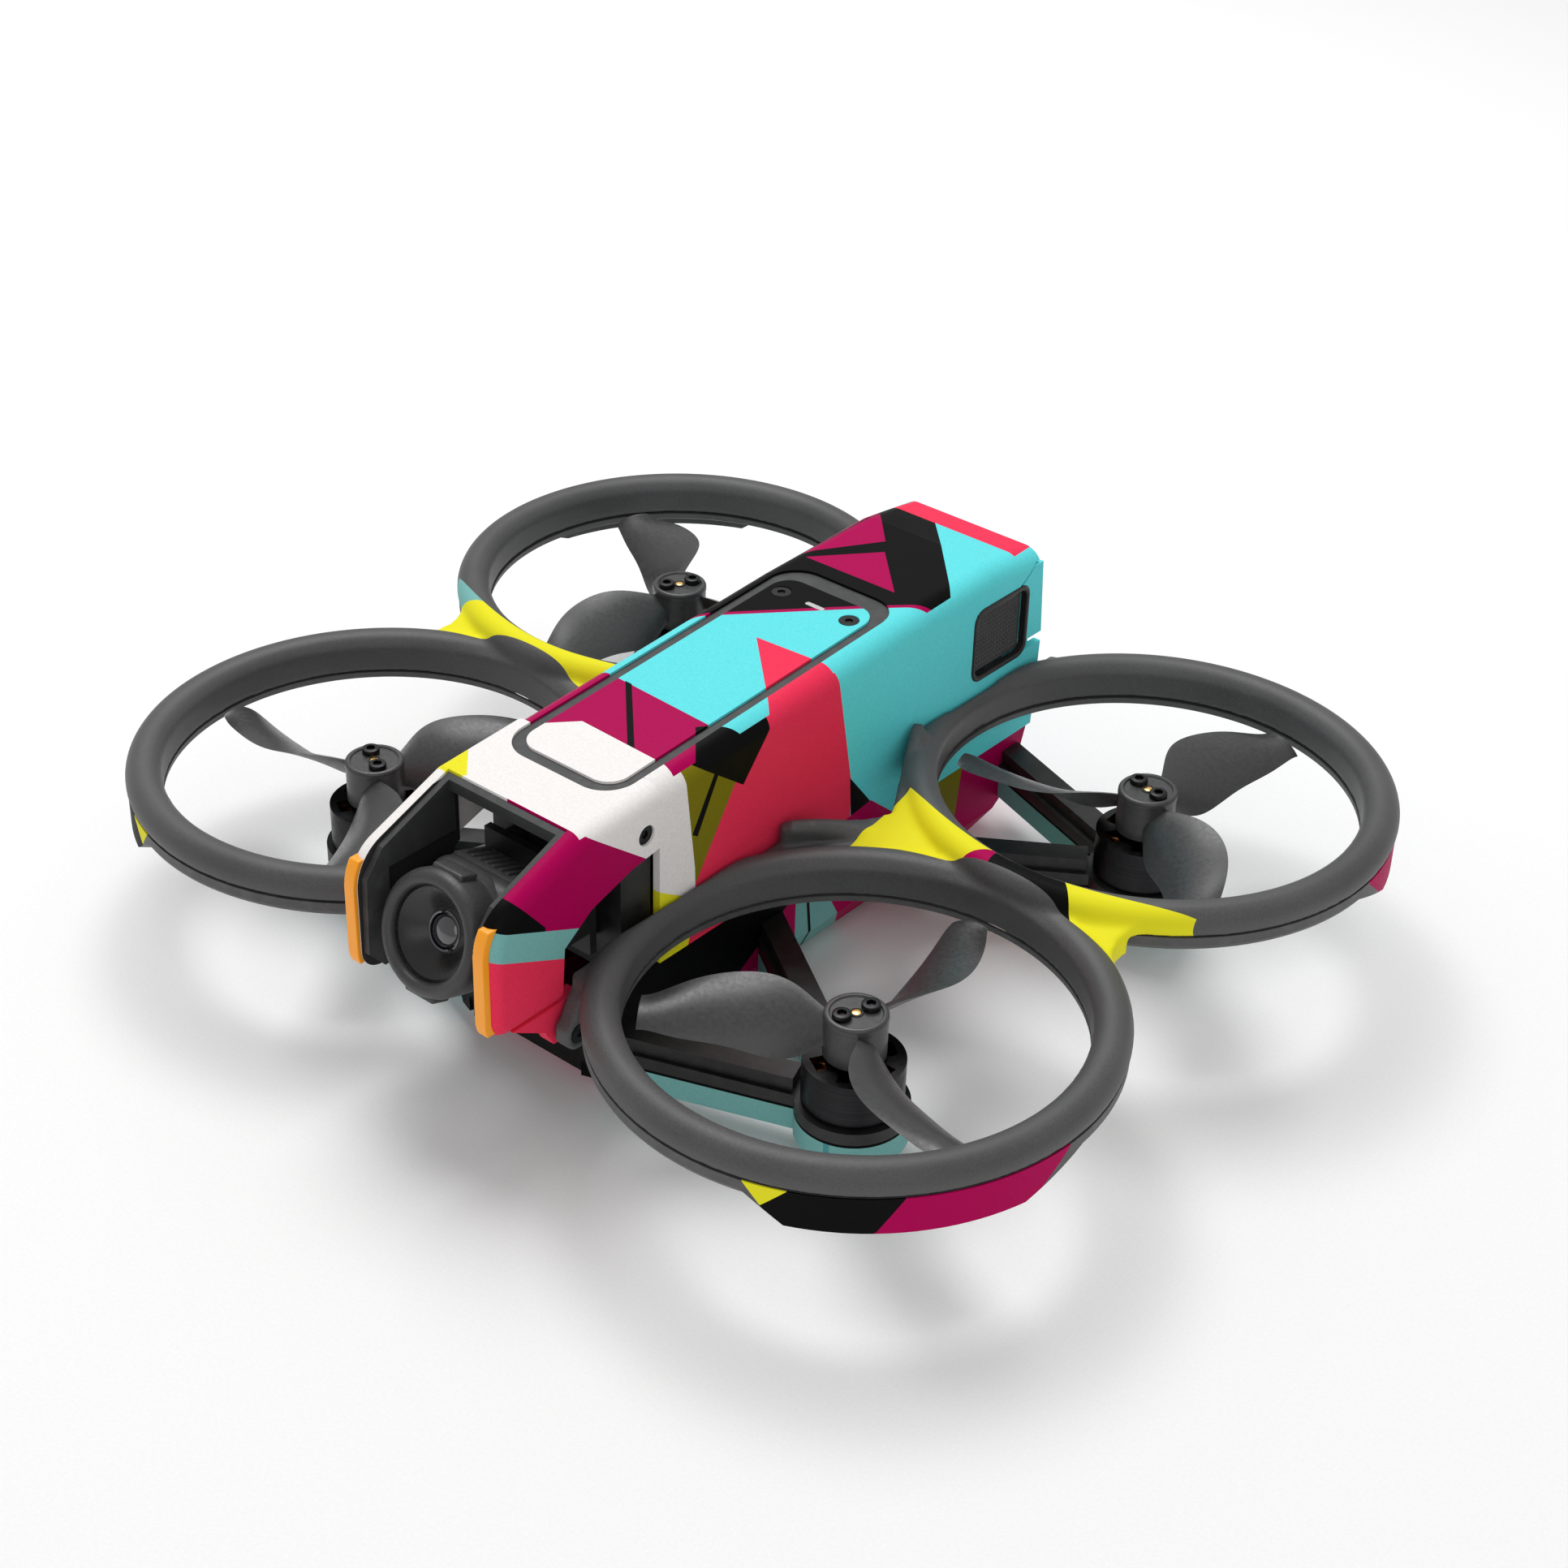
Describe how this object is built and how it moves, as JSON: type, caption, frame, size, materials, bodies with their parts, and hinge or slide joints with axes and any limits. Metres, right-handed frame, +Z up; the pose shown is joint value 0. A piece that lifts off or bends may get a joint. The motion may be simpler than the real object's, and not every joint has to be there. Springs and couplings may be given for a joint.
{
  "type": "ducted fpv racing drone",
  "caption": "Compact racing quadcopter with round propeller guards, a tilting nose camera and a slide-out battery in a colour-blocked fuselage.",
  "frame": {"origin": "on the ground, midway between the four motor axes", "axes": "+Z up, -Y towards the nose camera, +X to the drone's left-hand side seen from the front (its own left when it flies towards -Y)"},
  "size_m": [0.2134, 0.1817, 0.064],
  "materials": {
    "skin_shell": "satin vinyl wrap in turquoise, crimson, coral, yellow, white and black patches",
    "skin_nose": "satin vinyl wrap, mostly off-white with crimson and coral patches",
    "skin_belly": "satin vinyl wrap in dull teal and crimson over black plastic",
    "skin_skirt": "dark grey plastic with crimson, black and yellow wrap patches",
    "guard_plastic": "fine textured dark grey plastic",
    "black_plastic": "fine textured black plastic",
    "trim_plastic": "textured charcoal plastic",
    "bumper": "semi-matt amber soft-touch strip",
    "camera_plastic": "fine textured dark grey plastic",
    "lens_glass": "coated lens glass, gloss",
    "motor_metal": "black anodised, satin",
    "stator": "black laminated core with copper windings",
    "propeller": "semi-gloss dark grey moulded plastic",
    "fastener": "black oxide steel",
    "rubber": "soft black silicone",
    "battery_plastic": "wrapped battery cap over black plastic",
    "cell": "foil pouch cell",
    "button": "dark grey plastic with a pyramid grip texture",
    "light": "milky light window",
    "circuit": "dark green solder mask",
    "cooling": "bare extruded aluminium",
    "contact": "gold plated contact",
    "sensor": "dark sensor window"
  },
  "bodies": {
    "airframe": {"upper_shell": "skin_shell", "lower_frame": "skin_belly", "belly_pads": "rubber", "bulkhead": "black_plastic", "nose_frame": "skin_nose", "nose_trim": "trim_plastic", "bumper_right": "bumper", "bumper_left": "bumper", "hatch_panel": "skin_shell", "hatch_trim": "trim_plastic", "hatch_screws": "fastener", "status_light": "light", "side_screws": "fastener", "guard_right": "guard_plastic", "guard_left": "guard_plastic", "gimbal_yoke": "black_plastic", "gimbal_motor": "motor_metal", "gimbal_dampers": "rubber", "contact_block": "black_plastic", "battery_contacts": "contact", "main_board": "circuit", "heat_sink": "cooling", "cooling_fan": "black_plastic", "antennas": "circuit", "sensor_windows": "sensor", "usb_port": "cooling", "guard_skirt_front_right": "skin_skirt", "arm_cover_front_right": "black_plastic", "motor_stator_front_right": "stator", "guard_skirt_front_left": "skin_skirt", "arm_cover_front_left": "black_plastic", "motor_stator_front_left": "stator", "guard_skirt_rear_right": "skin_skirt", "arm_cover_rear_right": "black_plastic", "motor_stator_rear_right": "stator", "guard_skirt_rear_left": "skin_skirt", "arm_cover_rear_left": "black_plastic", "motor_stator_rear_left": "stator"},
    "rotor_front_right": {"motor_bell_front_right": "motor_metal", "propeller_front_right": "propeller", "propeller_screws_front_right": "fastener"},
    "rotor_front_left": {"motor_bell_front_left": "motor_metal", "propeller_front_left": "propeller", "propeller_screws_front_left": "fastener"},
    "rotor_rear_right": {"motor_bell_rear_right": "motor_metal", "propeller_rear_right": "propeller", "propeller_screws_rear_right": "fastener"},
    "rotor_rear_left": {"motor_bell_rear_left": "motor_metal", "propeller_rear_left": "propeller", "propeller_screws_rear_left": "fastener"},
    "camera": {"camera_body": "camera_plastic", "camera_cover": "camera_plastic", "lens_ring": "camera_plastic", "lens_glass": "lens_glass"},
    "battery": {"battery_case": "battery_plastic", "battery_cells": "cell", "battery_leds": "light"},
    "release_button_right": {"release_button_right": "button"},
    "release_button_left": {"release_button_left": "button"},
    "power_button": {"power_button": "button"}
  },
  "joints": [
    {"name": "front_right_propeller_spin", "type": "hinge", "parent": "airframe", "child": "rotor_front_right", "pos_m": [0.05975, -0.0438, 0.02], "axis": [0, 0, 1], "continuous": true},
    {"name": "front_left_propeller_spin", "type": "hinge", "parent": "airframe", "child": "rotor_front_left", "pos_m": [-0.05975, -0.0438, 0.02], "axis": [0, 0, 1], "continuous": true},
    {"name": "rear_right_propeller_spin", "type": "hinge", "parent": "airframe", "child": "rotor_rear_right", "pos_m": [0.05975, 0.0438, 0.0235], "axis": [0, 0, 1], "continuous": true},
    {"name": "rear_left_propeller_spin", "type": "hinge", "parent": "airframe", "child": "rotor_rear_left", "pos_m": [-0.05975, 0.0438, 0.0235], "axis": [0, 0, 1], "continuous": true},
    {"name": "camera_tilt", "type": "hinge", "parent": "airframe", "child": "camera", "pos_m": [0, -0.074, 0.0366], "axis": [1, 0, 0], "range_deg": [-70, 115]},
    {"name": "battery_slide", "type": "slide", "parent": "airframe", "child": "battery", "axis": [0, 1, 0], "range_m": [0, 0.085]},
    {"name": "release_button_right_press", "type": "slide", "parent": "battery", "child": "release_button_right", "axis": [-1, 0, 0], "range_m": [0, 0.0015], "stiffness_N_per_m": 800, "springref_m": -0.0005},
    {"name": "release_button_left_press", "type": "slide", "parent": "battery", "child": "release_button_left", "axis": [1, 0, 0], "range_m": [0, 0.0015], "stiffness_N_per_m": 800, "springref_m": -0.0005},
    {"name": "power_button_press", "type": "slide", "parent": "battery", "child": "power_button", "axis": [0, -1, 0], "range_m": [0, 0.0008], "stiffness_N_per_m": 1000, "springref_m": -0.0004}
  ]
}
